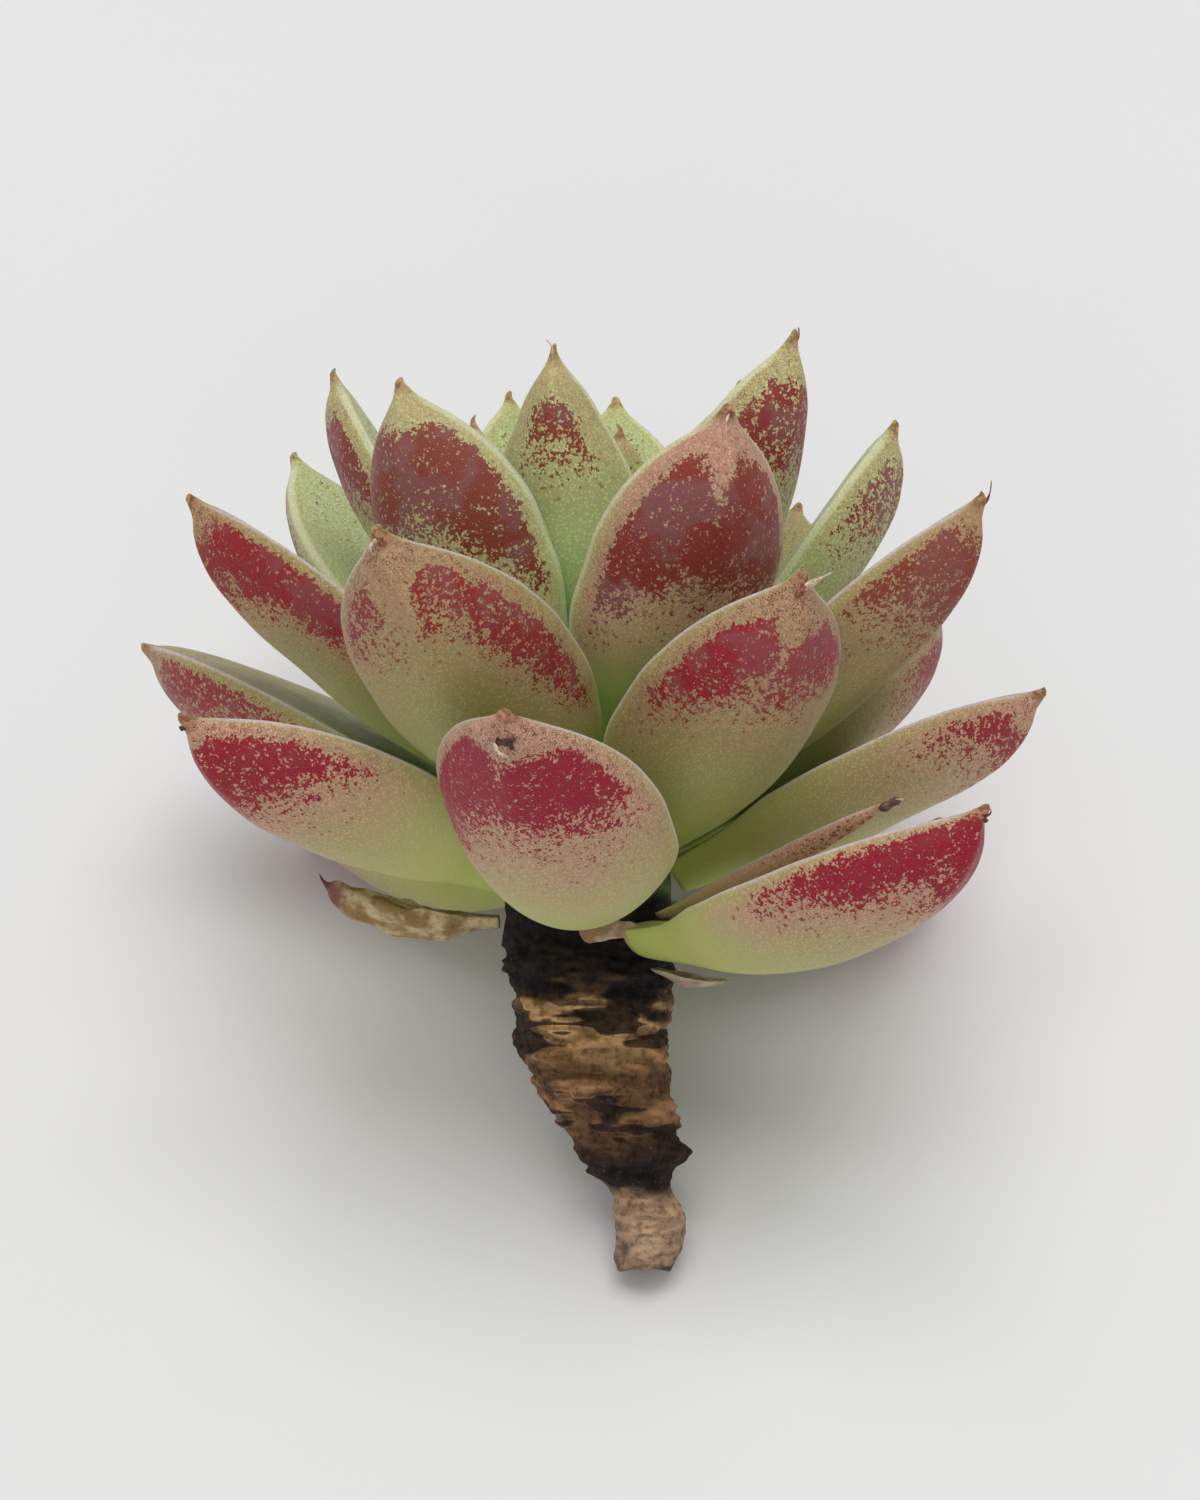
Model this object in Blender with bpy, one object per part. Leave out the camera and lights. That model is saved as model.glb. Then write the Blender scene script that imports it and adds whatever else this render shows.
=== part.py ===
"""Rosette succulent cut from its pot, laid down on its bare stem and its back leaves.

A short woody stem carries a rosette of thick pointed leaves.  The leaves leave
the stem one after another up a golden-angle spiral, low and flat at the outside
and steep at the heart.  Every leaf stays a separate piece, one GAP clear of the
stem.  The plant is modelled upright about its own axis and then tipped over on
to the facet of its convex hull that the stem end and the back leaves rest on.
"""
import math

import bmesh
import bpy
import numpy as np
from mathutils import Matrix, Vector

# ---- driving dimensions (metres, degrees)
LEAF_LENGTH = 0.0320      # full-grown leaf, stem to tip
LEAF_WIDTH = 0.0155       # full-grown leaf, widest place
LEAF_THICKNESS = 0.0058   # full-grown leaf, thickest place
STEM_RADIUS = 0.0060      # stem under the rosette
STEM_LENGTH = 0.0256      # lowest leaves to the broken end
CROWN_HEIGHT = 0.0240     # part of the stem that carries the leaves
SPIRAL_STEP = 137.5       # turn from one leaf to the next
FIRST_TURN = -6.0         # leaf 0, from the front toward the right
GAP = 0.0003              # clearance between a leaf and the stem
LEANS_ON = (0.0, 0.7, -0.7)   # side of the upright plant that is laid down

# ---- numbers of stations and of points round a piece
LEAF_STATIONS = (0.0, 0.12, 0.28, 0.44, 0.58, 0.71, 0.82, 0.90, 0.955, 1.0)
LEAF_SIDES = 12
HEART_SIDES = 8
STEM_SIDES = 16

# ---- how a leaf changes along its length: (share of length, share of full size)
LEAF_OUTLINE = ((0, 0.42), (0.12, 0.52), (0.30, 0.84), (0.48, 1.0), (0.62, 0.985),
                (0.74, 0.86), (0.84, 0.64), (0.90, 0.43), (0.94, 0.25), (0.97, 0.12), (1, 0.025))
LEAF_DEPTH = ((0, 0.50), (0.12, 0.60), (0.30, 0.88), (0.48, 1.0), (0.65, 0.98),
              (0.80, 0.84), (0.90, 0.60), (0.94, 0.42), (0.97, 0.22), (1, 0.05))
OUTER_SHARE = 0.74        # share of the thickness outside the leaf's middle line
CUP = 0.16                # rise of the margins, as a share of the half width

# ---- how the leaves change from the outside (rank -3) to the heart (rank 34)
LENGTH_BY_RANK = ((-8, 0.97), (0, 0.985), (8, 1.0), (14, 1.0), (18, 0.97), (21, 0.797),
                  (23, 0.61), (28, 0.42), (34, 0.25))
WIDTH_BY_RANK = ((-8, 1.0), (0, 1.03), (8, 1.0), (14, 0.935), (21, 0.74), (24, 0.55),
                 (28, 0.387), (34, 0.206))
THICKNESS_BY_RANK = ((-8, 1.03), (0, 1.03), (8, 1.0), (14, 0.90), (21, 0.67), (24, 0.465),
                     (28, 0.328), (34, 0.19))
SLOPE_BY_RANK = ((-8, 10), (-3, 13.5), (0, 17), (21, 66.5), (28, 77), (34, 85))
CURL_BY_RANK = ((-8, 18), (0, 18), (2, 8), (10, 7), (21, 6), (34, 4))
SEAT_BY_RANK = ((-8, -0.19), (0, 0.05), (22, 0.71), (34, 0.96))

# ---- crown and stem: (height as a share of CROWN_HEIGHT, share of STEM_RADIUS) and
#      (depth as a share of STEM_LENGTH, share of STEM_RADIUS, sideways shift as a share)
CROWN_PROFILE = ((-0.125, 1.0), (0, 1.0), (0.1, 1.0), (0.2, 0.94), (0.3, 0.875), (0.5, 0.70),
                 (0.7, 0.467), (0.85, 0.287), (1.0, 0.125), (1.06, 0.07))
STEM_PROFILE = ((0.12, 1.01, 0.0), (0.23, 0.98, 0.07), (0.29, 0.93, 0.12), (0.34, 0.95, 0.17),
                (0.40, 0.86, 0.21), (0.46, 0.86, 0.26), (0.52, 0.79, 0.32), (0.58, 0.76, 0.37),
                (0.63, 0.66, 0.42), (0.69, 0.56, 0.50), (0.74, 0.45, 0.57), (0.80, 0.40, 0.63),
                (0.86, 0.41, 0.70), (0.93, 0.42, 0.75), (1.0, 0.35, 0.79))

# ---- what sets single leaves apart: slope, curl, turn and roll in degrees, seat as a
#      share of CROWN_HEIGHT, the rest as shares of the full leaf
OWN_CHANGES = {
    -3: dict(thickness=-0.10, seat=-0.0125, slope=0.8),
    -1: dict(slope=-1.5),
    0: dict(turn=2.5, slope=8.5, seat=0.02, lean=-0.09, droop=0.16, curl=9, roll=11, thickness=0.10),
    1: dict(slope=-1.6, seat=0.045),
    2: dict(slope=3.2, length=-0.077, seat=0.033, thickness=-0.10, curl=-7),
    3: dict(slope=-3.8, length=-0.12, width=-0.04, thickness=-0.04, curl=-4, roll=-8),
    4: dict(turn=-1.5),
    5: dict(slope=3.7, turn=1, length=-0.02, lean=-0.03, width=-0.03),
    6: dict(slope=-4, length=0.05, curl=-14),
    7: dict(slope=3.2, length=-0.094, turn=3, seat=0.015),
    8: dict(slope=-3, width=-0.05, turn=7, lean=-0.105, roll=-15),
    10: dict(slope=-2.4, turn=2, length=0.016, width=-0.07, roll=-8),
    11: dict(slope=-1.6, length=-0.03, width=-0.08, curl=-8, narrow=0.06),
    13: dict(turn=17, length=-0.04, lean=-0.03),
    14: dict(slope=-5.5, length=0.11),
    15: dict(slope=1.5, length=-0.07, width=-0.10),
    16: dict(slope=4, turn=5, length=-0.115, lean=-0.02, roll=-8),
    17: dict(turn=-2, length=0.04),
    18: dict(slope=-2, turn=5, length=-0.02, width=-0.06, narrow=0.08),
    19: dict(slope=-2.5, length=-0.005),
    20: dict(turn=10),
    21: dict(slope=1, turn=3, length=-0.03, narrow=0.28),
    22: dict(length=0.05),
}

# ---- linear colours of the pieces
OUTER_COLOUR = (0.42, 0.20, 0.16, 1)
MIDDLE_COLOUR = (0.36, 0.30, 0.15, 1)
INNER_COLOUR = (0.30, 0.38, 0.15, 1)
HEART_COLOUR = (0.38, 0.50, 0.16, 1)
BARK_COLOUR = (0.05, 0.03, 0.02, 1)
DRY_COLOUR = (0.42, 0.30, 0.17, 1)


def read_off(table, at, column=1):
    """Straight-line reading of one column of a table at one or more places."""
    rows = np.array(table, dtype=float)
    return np.interp(at, rows[:, 0], rows[:, column])


def crown_radius(height):
    """Radius of the leaf-bearing stem at a height over the lowest leaves."""
    return STEM_RADIUS * read_off(CROWN_PROFILE, height / CROWN_HEIGHT)


def leaf_numbers(rank):
    """Sizes and place of the leaf of one rank, counted from the outside inward."""
    own = OWN_CHANGES.get(rank, {})
    return dict(
        length=LEAF_LENGTH * (read_off(LENGTH_BY_RANK, rank) + own.get("length", 0)),
        width=LEAF_WIDTH * (read_off(WIDTH_BY_RANK, rank) + own.get("width", 0)),
        thickness=LEAF_THICKNESS * (read_off(THICKNESS_BY_RANK, rank) + own.get("thickness", 0)),
        slope=read_off(SLOPE_BY_RANK, rank) + own.get("slope", 0),
        curl=read_off(CURL_BY_RANK, rank) + own.get("curl", 0),
        seat=CROWN_HEIGHT * (read_off(SEAT_BY_RANK, rank) + own.get("seat", 0)),
        turn=FIRST_TURN - SPIRAL_STEP * rank + own.get("turn", 0),
        lean=LEAF_LENGTH * own.get("lean", 0),
        droop=LEAF_LENGTH * own.get("droop", 0),
        roll=own.get("roll", 0),
        narrow=own.get("narrow", 0),
    )


def leaf_rings(leaf, sides):
    """Cross sections of a leaf from stem to tip, each a closed ring of points.

    The middle line climbs from slope - curl at the stem to slope + curl at the
    tip.  Each section is a lens across that line, flat toward the heart, deep
    on the outside, its two margins turned up by CUP.  The stem end of the leaf
    stands off so that neither its upper nor its lower edge comes nearer than GAP.
    Past 0.6 of the length the tip may droop to the outside; past 0.5 the outline
    may narrow; roll turns the sections about the middle line.
    """
    fine = np.linspace(0, 1, 201)
    climb = np.radians(leaf["slope"] + leaf["curl"] * (2 * fine - 1))
    half_step = 0.5 * leaf["length"] / 200
    outward = np.concatenate([[0], np.cumsum((np.cos(climb[1:]) + np.cos(climb[:-1])) * half_step)])
    upward = np.concatenate([[0], np.cumsum((np.sin(climb[1:]) + np.sin(climb[:-1])) * half_step)])
    root_depth = LEAF_DEPTH[0][1] * leaf["thickness"]
    edges = []
    for reach in (-OUTER_SHARE * root_depth, (1 - OUTER_SHARE) * root_depth):
        edges.append(crown_radius(leaf["seat"] + reach * math.cos(climb[0]))
                     + reach * math.sin(climb[0]))
    start = max(edges) + 1.15 * GAP
    turn = math.radians(leaf["turn"])
    out_way = np.array([math.sin(turn), -math.cos(turn), 0])
    side_way = np.array([math.cos(turn), math.sin(turn), 0])
    up_way = np.array([0, 0, 1])
    rings = []
    for at in LEAF_STATIONS:
        slim = 1 - leaf["narrow"] * np.clip((at - 0.5) / 0.3, 0, 1)
        half = 0.5 * leaf["width"] * read_off(LEAF_OUTLINE, at) * slim
        depth = leaf["thickness"] * read_off(LEAF_DEPTH, at)
        slope = np.interp(at, fine, climb)
        roll = math.radians(leaf["roll"]) * min(at / 0.4, 1)
        droop = leaf["droop"] * np.clip((at - 0.6) / 0.4, 0, 1) ** 3
        centre = ((start + np.interp(at, fine, outward)) * out_way
                  + (leaf["seat"] + np.interp(at, fine, upward)) * up_way
                  + leaf["lean"] * at ** 2 * side_way)
        inward = -math.sin(slope) * out_way + math.cos(slope) * up_way
        ring = []
        for number in range(sides):
            angle = 2 * math.pi * number / sides
            across = math.copysign(abs(math.cos(angle)) ** 0.9, math.cos(angle))
            if number in (sides // 4, 3 * sides // 4):
                across = 0.0
            fill = 1 - across ** 2
            if number <= sides // 2:
                height = (1 - OUTER_SHARE) * depth * fill
            else:
                height = -OUTER_SHARE * depth * fill ** 0.62
            height += CUP * half * across ** 2 * min(at / 0.3, 1)
            side = half * across * math.cos(roll) + height * math.sin(roll)
            height = height * math.cos(roll) - half * across * math.sin(roll) - droop
            ring.append(centre + side * side_way + height * inward)
        rings.append(ring)
    return rings


def stem_rings():
    """Cross sections of the woody stem, from the crown inside the heart to the end.

    Below the leaves the stem thins in steps, drifts sideways and swells a
    little at every old leaf scar; its broken end is smaller and slanted.
    """
    rings = []
    for share, radius in reversed(CROWN_PROFILE[1:]):
        rings.append((share * CROWN_HEIGHT, radius * STEM_RADIUS, 0.0, 0.0))
    for share, radius, shift in STEM_PROFILE:
        rings.append((-share * STEM_LENGTH, radius * STEM_RADIUS, shift * STEM_RADIUS, 0.04))
    loops = []
    for level, (height, radius, shift, roughness) in enumerate(rings):
        loop = []
        for number in range(STEM_SIDES):
            angle = 2 * math.pi * number / STEM_SIDES
            knob = 1 + roughness * math.sin(3 * angle + 1.9 * level) * math.cos(2 * angle - level)
            loop.append(np.array([shift + radius * knob * math.cos(angle),
                                  radius * knob * math.sin(angle),
                                  height + roughness * radius * math.cos(angle + level)]))
        loops.append(loop)
    return loops


def add_solid(name, rings, colour, roughness):
    """One closed body: the rings bridged in order, the first and last ones capped."""
    mesh = bpy.data.meshes.new(name)
    body = bmesh.new()
    loops = []
    for ring in rings:
        corners = [body.verts.new(point) for point in ring]
        loops.append([body.edges.new((corners[n - 1], corners[n])) for n in range(len(corners))])
    for first, second in zip(loops, loops[1:]):
        bmesh.ops.bridge_loops(body, edges=first + second)
    for loop in (loops[0], loops[-1]):
        bmesh.ops.contextual_create(body, geom=loop)
    bmesh.ops.triangulate(body, faces=body.faces[:])
    bmesh.ops.recalc_face_normals(body, faces=body.faces[:])
    body.to_mesh(mesh)
    body.free()
    piece = bpy.data.objects.new(name, mesh)
    bpy.context.collection.objects.link(piece)
    material = bpy.data.materials.new(name)
    material.use_nodes = True
    shader = material.node_tree.nodes["Principled BSDF"]
    shader.inputs["Base Color"].default_value = colour
    shader.inputs["Roughness"].default_value = roughness
    mesh.materials.append(material)
    return piece


def volume_and_moment(mesh):
    """Volume of a closed mesh, and that volume times its centre."""
    volume = 0.0
    moment = Vector((0, 0, 0))
    mesh.calc_loop_triangles()
    for triangle in mesh.loop_triangles:
        a, b, c = (mesh.vertices[n].co for n in triangle.vertices)
        part = a.dot(b.cross(c)) / 6
        volume += part
        moment += part * (a + b + c) / 4
    return volume, moment


def resting_side(pieces):
    """Outward normal of the hull facet the plant comes to rest on.

    A facet carries the plant when the centre of mass stands over it.  Of the
    facets that do, the one turned most toward LEANS_ON is taken.
    """
    volume = 0.0
    moment = Vector((0, 0, 0))
    hull = bmesh.new()
    for piece in pieces:
        part, part_moment = volume_and_moment(piece.data)
        volume += part
        moment += part_moment
        for vertex in piece.data.vertices:
            hull.verts.new(vertex.co)
    centre = moment / volume
    bmesh.ops.convex_hull(hull, input=hull.verts[:])
    best = None
    best_match = -1.0
    for face in hull.faces:
        normal = face.normal.copy()
        if normal.dot(face.verts[0].co - centre) < 0:
            normal.negate()
        corners = [vertex.co for vertex in face.verts]
        plumb = centre + normal * normal.dot(corners[0] - centre)
        turns = [normal.dot((corners[n] - corners[n - 1]).cross(plumb - corners[n - 1]))
                 for n in range(len(corners))]
        stands = min(turns) > 0 or max(turns) < 0
        match = normal.dot(Vector(LEANS_ON).normalized())
        if stands and match > best_match:
            best = normal
            best_match = match
    hull.free()
    return best


def lay_down(pieces):
    """Tip the plant on to its resting side, heart to the back, then set its origin."""
    down = resting_side(pieces)
    axis = Vector((0, 0, 1))
    back = (axis - down * axis.dot(down)).normalized()
    up = -down
    right = back.cross(up)
    turn = Matrix((right, back, up))
    corners = [turn @ vertex.co for piece in pieces for vertex in piece.data.vertices]
    low = Vector([min(corner[n] for corner in corners) for n in range(3)])
    high = Vector([max(corner[n] for corner in corners) for n in range(3)])
    origin = Vector(((low.x + high.x) / 2, (low.y + high.y) / 2, low.z))
    for piece in pieces:
        piece.data.transform(Matrix.Translation(-origin) @ turn.to_4x4())


for old in list(bpy.data.objects):
    bpy.data.objects.remove(old)

# ---- the stem: crown and bare trunk are one piece of wood
plant = [add_solid("stem", stem_rings(), BARK_COLOUR, 0.9)]

# ---- the living leaves, ring by ring from the outside inward
GROUPS = (
    ("outer_leaf", (-3, -1, 0, 1, 2, 3, 4), OUTER_COLOUR, LEAF_SIDES),
    ("middle_leaf", range(5, 14), MIDDLE_COLOUR, LEAF_SIDES),
    ("inner_leaf", range(14, 24), INNER_COLOUR, LEAF_SIDES),
    ("heart_leaf", range(24, 35), HEART_COLOUR, HEART_SIDES),
)
for group, ranks, colour, sides in GROUPS:
    for number, rank in enumerate(ranks, start=1):
        rings = leaf_rings(leaf_numbers(rank), sides)
        plant.append(add_solid(f"{group}_{number:02d}", rings, colour, 0.55))

# ---- a stunted leaf squeezed between two outer ones, and two dried-up ones under them
STUNTED = dict(length=0.64 * LEAF_LENGTH, width=0.23 * LEAF_WIDTH, thickness=0.18 * LEAF_THICKNESS,
               slope=21.5, curl=4, seat=0.0, turn=55, lean=0, droop=0, roll=0, narrow=0)
WITHERED = dict(length=0.41 * LEAF_LENGTH, width=0.39 * LEAF_WIDTH, thickness=0.34 * LEAF_THICKNESS,
                slope=12, curl=18, seat=-0.01 * CROWN_HEIGHT, turn=-91, lean=0, droop=0, roll=0,
                narrow=0)
SCRAP = dict(length=0.20 * LEAF_LENGTH, width=0.23 * LEAF_WIDTH, thickness=0.10 * LEAF_THICKNESS,
             slope=-10, curl=8, seat=-0.165 * CROWN_HEIGHT, turn=50, lean=0, droop=0, roll=0,
             narrow=0)
plant.append(add_solid("stunted_leaf", leaf_rings(STUNTED, LEAF_SIDES), OUTER_COLOUR, 0.6))
plant.append(add_solid("withered_leaf", leaf_rings(WITHERED, LEAF_SIDES), DRY_COLOUR, 0.8))
plant.append(add_solid("dry_leaf_scrap", leaf_rings(SCRAP, LEAF_SIDES), DRY_COLOUR, 0.9))

lay_down(plant)
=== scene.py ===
"""Unpotted rosette succulent lying on its bare stem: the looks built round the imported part."""

import math

import bpy
import numpy as np
from mathutils import Matrix, Vector


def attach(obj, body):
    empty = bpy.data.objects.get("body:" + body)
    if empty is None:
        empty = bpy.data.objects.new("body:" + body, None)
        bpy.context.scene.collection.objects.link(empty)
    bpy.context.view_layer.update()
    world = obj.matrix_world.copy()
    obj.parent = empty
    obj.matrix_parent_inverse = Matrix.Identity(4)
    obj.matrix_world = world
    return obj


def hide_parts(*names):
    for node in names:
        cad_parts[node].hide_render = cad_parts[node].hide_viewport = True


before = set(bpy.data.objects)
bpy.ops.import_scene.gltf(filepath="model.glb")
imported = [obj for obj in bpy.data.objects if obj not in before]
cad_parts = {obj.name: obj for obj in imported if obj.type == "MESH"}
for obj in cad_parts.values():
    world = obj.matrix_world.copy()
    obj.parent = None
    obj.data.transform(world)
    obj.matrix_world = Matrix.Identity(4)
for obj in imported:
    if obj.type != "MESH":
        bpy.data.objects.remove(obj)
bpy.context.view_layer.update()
collection = bpy.context.scene.collection

# ---- How the plant lies
# The plant grows straight up in its own space and is tipped over on to its stem
# end and its back leaves. Every piece below is shaped upright and then laid.
GROUND_SIDE = np.array([0.00684, 0.79363, -0.60837])   # straight down, seen from the upright plant
LAID_SHIFT = np.array([0.00068, -0.01206, 0.01720])    # then its footprint's middle is at 0, 0, 0


def laid_axes():
    """Right, back and up of the table, as unit vectors of the upright plant."""
    down = GROUND_SIDE / np.linalg.norm(GROUND_SIDE)
    growing = np.array([0.0, 0.0, 1.0])
    back = growing - down * growing.dot(down)
    back /= np.linalg.norm(back)
    return np.stack([np.cross(back, -down), back, -down])


def lay(points):
    """Upright plant points turned on to the table, then shifted."""
    return points @ laid_axes().T + LAID_SHIFT


def add_surface(name, grid, marks):
    """Mesh of a grid of points: rows run along the piece, columns close round it.

    Neighbouring rows are joined by four-sided faces and each end row is closed
    by a fan to its middle point. marks holds one number per grid point, stored
    as named attributes that the material reads.
    """
    rows, columns = grid.shape[:2]
    first, second = np.meshgrid(np.arange(rows - 1), np.arange(columns), indexing="ij")
    across = (second + 1) % columns
    quads = np.stack([first * columns + second, first * columns + across,
                      (first + 1) * columns + across, (first + 1) * columns + second], -1)
    points = grid.reshape(-1, 3)
    ends = np.stack([grid[0].mean(0), grid[-1].mean(0)])
    middle = rows * columns
    ring = np.arange(columns)
    after = (ring + 1) % columns
    last = middle - columns
    fans = np.concatenate([np.stack([np.full(columns, middle), after, ring], -1),
                           np.stack([np.full(columns, middle + 1), last + ring, last + after], -1)])
    mesh = bpy.data.meshes.new(name)
    mesh.from_pydata(lay(np.concatenate([points, ends])).tolist(), [],
                     quads.reshape(-1, 4).tolist() + fans.tolist())
    for mark, values in marks.items():
        values = np.broadcast_to(values, (rows, columns))
        both = np.concatenate([values.reshape(-1), [values[0].mean(), values[-1].mean()]])
        stored = mesh.attributes.new(mark, "FLOAT", "POINT")
        stored.data.foreach_set("value", both.astype(np.float32))
    mesh.shade_smooth()
    piece = bpy.data.objects.new(name, mesh)
    collection.objects.link(piece)
    return piece


def hang(piece, material, node):
    """The piece in its material, riding on the plant in place of its plain solid."""
    piece.data.materials.append(material)
    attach(piece, "root")
    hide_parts(node)


# ---- Stem
# One piece of wood: the crown that the leaves grow on, hidden in the rosette,
# and the bare trunk under it, ringed with old leaf scars, its bark flaking, its
# lower end torn off and paler.
MM = 0.001
STEM_RADIUS = 6.0 * MM
CROWN_HEIGHT = 24.0 * MM
# share of the crown's height, share of the stem's radius
CROWN_PROFILE = ((-0.125, 1.0), (0, 1.0), (0.1, 1.0), (0.2, 0.94), (0.3, 0.875), (0.5, 0.70),
                 (0.7, 0.467), (0.85, 0.287), (1.0, 0.125), (1.06, 0.07))
# depth under the lowest leaves, radius, shift to the right, all in mm
TRUNK_PROFILE = ((0, 5.9, 0.0), (2.5, 6.0, -0.05), (4.3, 5.9, 0.05), (6.1, 5.6, 0.15), (8.0, 5.6, 0.3),
                 (9.8, 5.55, 0.4), (11.0, 5.25, 0.8), (11.9, 5.0, 1.1), (13.0, 4.7, 1.5),
                 (14.1, 4.4, 1.95), (15.4, 4.1, 2.4), (17.0, 3.75, 2.95), (17.7, 3.5, 3.0),
                 (18.4, 2.9, 3.0), (19.2, 2.35, 3.5), (20.0, 2.15, 3.9), (21.0, 2.45, 4.3),
                 (22.0, 2.6, 4.5), (23.5, 2.5, 4.45), (24.6, 2.35, 4.2), (25.3, 2.1, 4.1))


def smooth_curve(table, at, column=1):
    """Monotone cubic through the rows of a table, read at the places given.

    The slope at each row is the harmonic mean of its neighbours' slopes, and
    zero at a turning point, so the curve never overshoots a row.
    """
    rows = np.array(table, dtype=float)
    place, value = rows[:, 0], rows[:, column]
    step = np.diff(place)
    rise = np.diff(value) / step
    slope = np.zeros(len(place))
    slope[0], slope[-1] = rise[0], rise[-1]
    same_way = rise[:-1] * rise[1:] > 0
    near, far = 2 * step[1:] + step[:-1], step[1:] + 2 * step[:-1]
    safe_before = np.where(same_way, rise[:-1], 1.0)
    safe_after = np.where(same_way, rise[1:], 1.0)
    mean = (near + far) / (near / safe_before + far / safe_after)
    slope[1:-1] = np.where(same_way, mean, 0.0)
    at = np.clip(at, place[0], place[-1])
    index = np.clip(np.searchsorted(place, at, side="right") - 1, 0, len(place) - 2)
    part = (at - place[index]) / step[index]
    return ((2 * part ** 3 - 3 * part ** 2 + 1) * value[index]
            + (part ** 3 - 2 * part ** 2 + part) * step[index] * slope[index]
            + (3 * part ** 2 - 2 * part ** 3) * value[index + 1]
            + (part ** 3 - part ** 2) * step[index] * slope[index + 1])


def lumps(points, pitch, seed):
    """Smooth value noise from -1 to 1: random numbers on a cubic lattice of the
    given pitch, blended between the eight corners by smoothstep weights."""
    table = np.random.default_rng(seed).uniform(-1, 1, (32, 32, 32))
    place = points / pitch
    cell = np.floor(place).astype(int)
    part = place - cell
    part = part * part * (3 - 2 * part)
    total = np.zeros(points.shape[:-1])
    for corner in np.ndindex(2, 2, 2):
        weight = np.prod(np.where(np.array(corner) == 1, part, 1 - part), axis=-1)
        index = (cell + corner) % 32
        total += weight * table[index[..., 0], index[..., 1], index[..., 2]]
    return total


def stem_surface(rows=300, columns=200):
    """Stem grid and its depth marks.

    A circle is carried down the profile tables, then pushed in and out by leaf
    scar rings (a slanted sine of the depth, strongest where the bark is bare),
    by long flat flakes (noise squeezed along the depth) and by fine grit.
    """
    crown = np.linspace(CROWN_HEIGHT * 1.06, 0, rows // 5, endpoint=False)
    trunk = np.linspace(0, -25.3 * MM, rows - rows // 5)
    height = np.concatenate([crown, trunk])
    depth = -height / MM
    radius = np.where(height > 0, STEM_RADIUS * smooth_curve(CROWN_PROFILE, height / CROWN_HEIGHT),
                      smooth_curve(TRUNK_PROFILE, depth, 1) * MM)
    shift = np.where(height > 0, 0, smooth_curve(TRUNK_PROFILE, depth, 2) * MM)
    angle = np.linspace(0, 2 * np.pi, columns, endpoint=False)
    radius, shift, height, depth = (part[:, None] for part in (radius, shift, height, depth))
    around = np.stack([np.broadcast_to(np.cos(angle), (rows, columns)),
                       np.broadcast_to(np.sin(angle), (rows, columns)),
                       np.zeros((rows, columns))], -1)
    bare = np.clip(depth / 3, 0, 1)
    woody = bare * np.clip(1 - (depth - 18.6) / 1.2, 0.25, 1)
    solid = around * radius[..., None] + np.array([0, 0, 1.0]) * height[..., None]
    slanted = depth + 0.9 * np.sin(angle + 0.6) + 0.5 * np.sin(2 * angle + 1.0)
    slanted = slanted + 0.9 * lumps(solid, 5 * MM, 3)
    scars = np.abs(np.sin(slanted * np.pi / 2.1)) ** 0.6
    flat = solid * np.array([1, 1, 2.8])
    flakes = lumps(flat, 2.6 * MM, 5)
    chips = lumps(flat, 1.1 * MM, 7)
    grit = lumps(solid, 0.45 * MM, 11)
    steps = np.tanh(5 * (flakes - 0.12))
    push = 0.20 * (scars - 0.6) + 0.24 * steps + 0.20 * chips + 0.08 * grit
    torn = np.exp(-((depth - 17.2) / 0.7) ** 2) * np.clip(lumps(solid, 1.0 * MM, 13) + 0.35, 0, 1)
    lying = 1 - 0.9 * np.clip(around[..., 1], 0, 1)
    radial = radius + (woody * push + 0.9 * torn) * lying * MM
    ragged = np.clip((depth - 24.2) / 1.1, 0, 1) * lumps(around * radius[..., None], 1.2 * MM, 17)
    x = shift + radial * around[..., 0]
    y = radial * around[..., 1]
    z = height + 0.55 * ragged * MM + np.zeros_like(x)
    streaks = lumps(solid * np.array([1, 1, 5.0]) + 5 * MM, 1.5 * MM, 19)
    plates = lumps(solid * np.array([1, 1, 2.2]) + 9 * MM, 3.6 * MM, 23)
    marks = dict(depth=depth, hollow=push * woody, streak=streaks, plate=plates)
    return np.stack([x, y, z], -1), marks


def new_material(name):
    """An empty material, its node tree and its Principled shader."""
    material = bpy.data.materials.new(name)
    material.use_nodes = True
    return material, material.node_tree, material.node_tree.nodes["Principled BSDF"]


def add_node(tree, kind, inputs=None, **settings):
    """A shader node with its settings; an input given as a socket is linked, else set."""
    made = tree.nodes.new("ShaderNode" + kind)
    for key, value in settings.items():
        setattr(made, key, value)
    for key, value in (inputs or {}).items():
        if isinstance(value, bpy.types.NodeSocket):
            tree.links.new(value, made.inputs[key])
        else:
            made.inputs[key].default_value = value
    return made


def math_node(tree, operation, first, second=0.0):
    """One arithmetic step between sockets or numbers."""
    return add_node(tree, "Math", {0: first, 1: second}, operation=operation).outputs[0]


def product(tree, *values):
    """Sockets or numbers multiplied together."""
    total = values[0]
    for value in values[1:]:
        total = math_node(tree, "MULTIPLY", total, value)
    return total


def ramp_between(tree, value, low, high, start=0.0, end=1.0):
    """A smooth rise from start to end while the value goes from low to high."""
    return add_node(tree, "MapRange", {"Value": value, "From Min": low, "From Max": high,
                                       "To Min": start, "To Max": end},
                    interpolation_type="SMOOTHSTEP").outputs[0]


def blend_colours(tree, share, first, second, way="MIX"):
    """Two colours mixed by a share."""
    made = add_node(tree, "Mix", {"Factor": share}, data_type="RGBA", blend_type=way)
    for place, colour in ((6, first), (7, second)):
        if isinstance(colour, bpy.types.NodeSocket):
            tree.links.new(colour, made.inputs[place])
        else:
            made.inputs[place].default_value = colour
    return made.outputs[2]


def mark_value(tree, name):
    """The number stored on the mesh under a name."""
    return add_node(tree, "Attribute", attribute_name=name).outputs["Fac"]


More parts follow.
